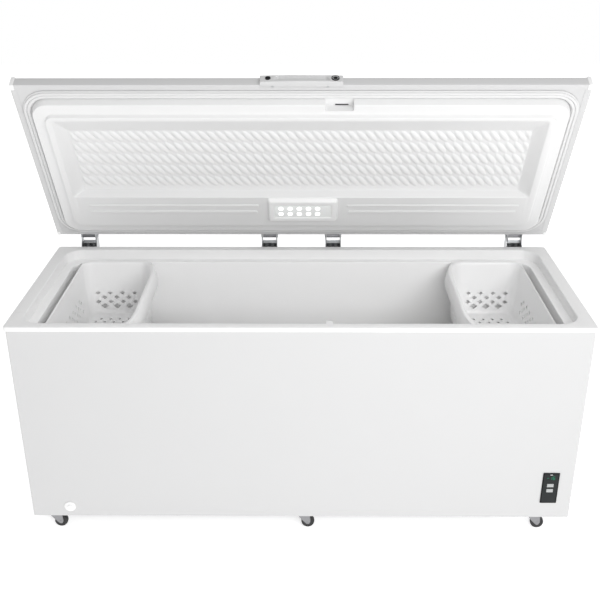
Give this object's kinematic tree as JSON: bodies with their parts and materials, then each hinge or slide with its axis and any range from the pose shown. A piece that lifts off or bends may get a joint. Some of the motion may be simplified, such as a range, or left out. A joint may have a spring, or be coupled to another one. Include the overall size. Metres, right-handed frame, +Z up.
{
  "type": "chest freezer",
  "caption": "Long chest freezer on casters with its lid held open by spring hinges, hanging baskets, a lid lamp, a key lock and a small control panel.",
  "frame": {"origin": "on the floor, under the centre of the bounding box at rest (lid open)", "axes": "+X along the length, to the right seen from the front; +Y to the back, where the hinges are; +Z up"},
  "size_m": [1.86, 0.742, 1.4962],
  "materials": {
    "white_enamel": "gloss",
    "galvanised_steel": "satin",
    "white_liner": "satin",
    "insulating_foam": "matte",
    "white_trim": "satin",
    "white_basket": "satin",
    "clear_hose": "satin",
    "black_enamel": "satin",
    "rubber": "matte",
    "grey_gasket": "matte",
    "copper_tube": "satin",
    "black_plastic": "gloss",
    "grey_plastic": "satin",
    "display_glass": "gloss",
    "clear_lens": "gloss",
    "circuit_board": "satin",
    "spring_steel": "satin",
    "zinc_steel": "satin",
    "tyre_black": "matte"
  },
  "bodies": {
    "cabinet": {"outer_wrapper": "white_enamel", "back_panel": "white_enamel", "bottom_panel": "galvanised_steel", "inner_liner": "white_liner", "cabinet_foam": "insulating_foam", "rim_front": "white_trim", "rim_rear": "white_trim", "rim_left": "white_trim", "rim_right": "white_trim", "rim_corners": "white_trim", "lock_strike": "white_trim", "drain_escutcheon": "white_trim", "drain_tube": "clear_hose", "compressor": "black_enamel", "compressor_tray": "galvanised_steel", "compressor_grommets": "rubber", "condenser_coil": "black_enamel", "evaporator_coil": "copper_tube", "cable_gland": "rubber", "side_grille": "white_trim", "control_bezel": "black_plastic", "control_display": "display_glass", "control_board": "circuit_board", "hinge_bodies": "galvanised_steel", "hinge_screws": "zinc_steel", "hinge_springs": "spring_steel", "caster_plates": "zinc_steel"},
    "lid": {"lid_skin": "white_enamel", "lid_foam": "insulating_foam", "lid_liner": "white_liner", "lid_gasket": "grey_gasket", "lid_corner_caps": "white_trim", "lid_handle": "white_trim", "handle_screws": "zinc_steel", "handle_plug": "black_plastic", "lamp_housing": "white_trim", "lamp_board": "circuit_board", "lamp_lens": "clear_lens", "hinge_arms": "galvanised_steel", "hinge_pins": "zinc_steel"},
    "lock": {"lock_cylinder": "zinc_steel", "lock_cam": "zinc_steel"},
    "hinge_followers": {"hinge_followers": "zinc_steel"},
    "upper_button": {"upper_button": "grey_plastic"},
    "lower_button": {"lower_button": "grey_plastic"},
    "drain_plug": {"drain_plug": "white_trim"},
    "basket_left": {"basket_left": "white_basket"},
    "basket_right": {"basket_right": "white_basket"},
    "caster_fork_1": {"caster_fork_1": "zinc_steel"},
    "caster_wheel_1": {"caster_wheel_1": "tyre_black"},
    "caster_fork_2": {"caster_fork_2": "zinc_steel"},
    "caster_wheel_2": {"caster_wheel_2": "tyre_black"},
    "caster_fork_3": {"caster_fork_3": "zinc_steel"},
    "caster_wheel_3": {"caster_wheel_3": "tyre_black"},
    "caster_fork_4": {"caster_fork_4": "zinc_steel"},
    "caster_wheel_4": {"caster_wheel_4": "tyre_black"},
    "caster_fork_5": {"caster_fork_5": "zinc_steel"},
    "caster_wheel_5": {"caster_wheel_5": "tyre_black"},
    "caster_fork_6": {"caster_fork_6": "zinc_steel"},
    "caster_wheel_6": {"caster_wheel_6": "tyre_black"}
  },
  "joints": [
    {"name": "lid_hinge", "type": "hinge", "parent": "cabinet", "child": "lid", "pos_m": [0, 0.361, 0.824], "axis": [-1, 0, 0], "range_deg": [-62.5, 17.5], "stiffness_Nm_per_rad": 46, "springref_deg": 27.5},
    {"name": "follower_slide", "type": "slide", "parent": "cabinet", "child": "hinge_followers", "axis": [0, 0, 1], "range_m": [-0.01255, 0.00355], "deforming": ["hinge_springs"]},
    {"name": "lock_turn", "type": "hinge", "parent": "lid", "child": "lock", "pos_m": [0.112, 0.01872, 1.47501], "axis": [0, 0.4617, -0.887], "range_deg": [0, 90]},
    {"name": "upper_button_press", "type": "slide", "parent": "cabinet", "child": "upper_button", "axis": [0, 1, 0], "range_m": [0, 0.001], "stiffness_N_per_m": 600, "springref_m": -0.0005},
    {"name": "lower_button_press", "type": "slide", "parent": "cabinet", "child": "lower_button", "axis": [0, 1, 0], "range_m": [0, 0.001], "stiffness_N_per_m": 600, "springref_m": -0.0005},
    {"name": "drain_plug_lift", "type": "slide", "parent": "cabinet", "child": "drain_plug", "axis": [0, 0, 1], "range_m": [0, 0.03]},
    {"name": "basket_left_slide", "type": "slide", "parent": "cabinet", "child": "basket_left", "axis": [1, 0, 0], "range_m": [-0.02, 1.05]},
    {"name": "basket_right_slide", "type": "slide", "parent": "cabinet", "child": "basket_right", "axis": [1, 0, 0], "range_m": [-1.05, 0.02]},
    {"name": "caster_swivel_1", "type": "hinge", "parent": "cabinet", "child": "caster_fork_1", "pos_m": [-0.861, -0.338, 0.057], "axis": [0, 0, 1], "continuous": true},
    {"name": "wheel_spin_1", "type": "hinge", "parent": "caster_fork_1", "child": "caster_wheel_1", "pos_m": [-0.839, -0.338, 0.023], "axis": [0, 1, 0], "continuous": true},
    {"name": "caster_swivel_2", "type": "hinge", "parent": "cabinet", "child": "caster_fork_2", "pos_m": [0.004, -0.338, 0.057], "axis": [0, 0, 1], "continuous": true},
    {"name": "wheel_spin_2", "type": "hinge", "parent": "caster_fork_2", "child": "caster_wheel_2", "pos_m": [0.026, -0.338, 0.023], "axis": [0, 1, 0], "continuous": true},
    {"name": "caster_swivel_3", "type": "hinge", "parent": "cabinet", "child": "caster_fork_3", "pos_m": [0.804, -0.338, 0.057], "axis": [0, 0, 1], "continuous": true},
    {"name": "wheel_spin_3", "type": "hinge", "parent": "caster_fork_3", "child": "caster_wheel_3", "pos_m": [0.826, -0.338, 0.023], "axis": [0, 1, 0], "continuous": true},
    {"name": "caster_swivel_4", "type": "hinge", "parent": "cabinet", "child": "caster_fork_4", "pos_m": [-0.861, 0.279, 0.057], "axis": [0, 0, 1], "continuous": true},
    {"name": "wheel_spin_4", "type": "hinge", "parent": "caster_fork_4", "child": "caster_wheel_4", "pos_m": [-0.839, 0.279, 0.023], "axis": [0, 1, 0], "continuous": true},
    {"name": "caster_swivel_5", "type": "hinge", "parent": "cabinet", "child": "caster_fork_5", "pos_m": [0.004, 0.279, 0.057], "axis": [0, 0, 1], "continuous": true},
    {"name": "wheel_spin_5", "type": "hinge", "parent": "caster_fork_5", "child": "caster_wheel_5", "pos_m": [0.026, 0.279, 0.023], "axis": [0, 1, 0], "continuous": true},
    {"name": "caster_swivel_6", "type": "hinge", "parent": "cabinet", "child": "caster_fork_6", "pos_m": [0.804, 0.279, 0.057], "axis": [0, 0, 1], "continuous": true},
    {"name": "wheel_spin_6", "type": "hinge", "parent": "caster_fork_6", "child": "caster_wheel_6", "pos_m": [0.826, 0.279, 0.023], "axis": [0, 1, 0], "continuous": true}
  ],
  "couplings": [
    {"joint": "follower_slide", "follows": "lid_hinge", "m_per_rad": 0.011459}
  ]
}
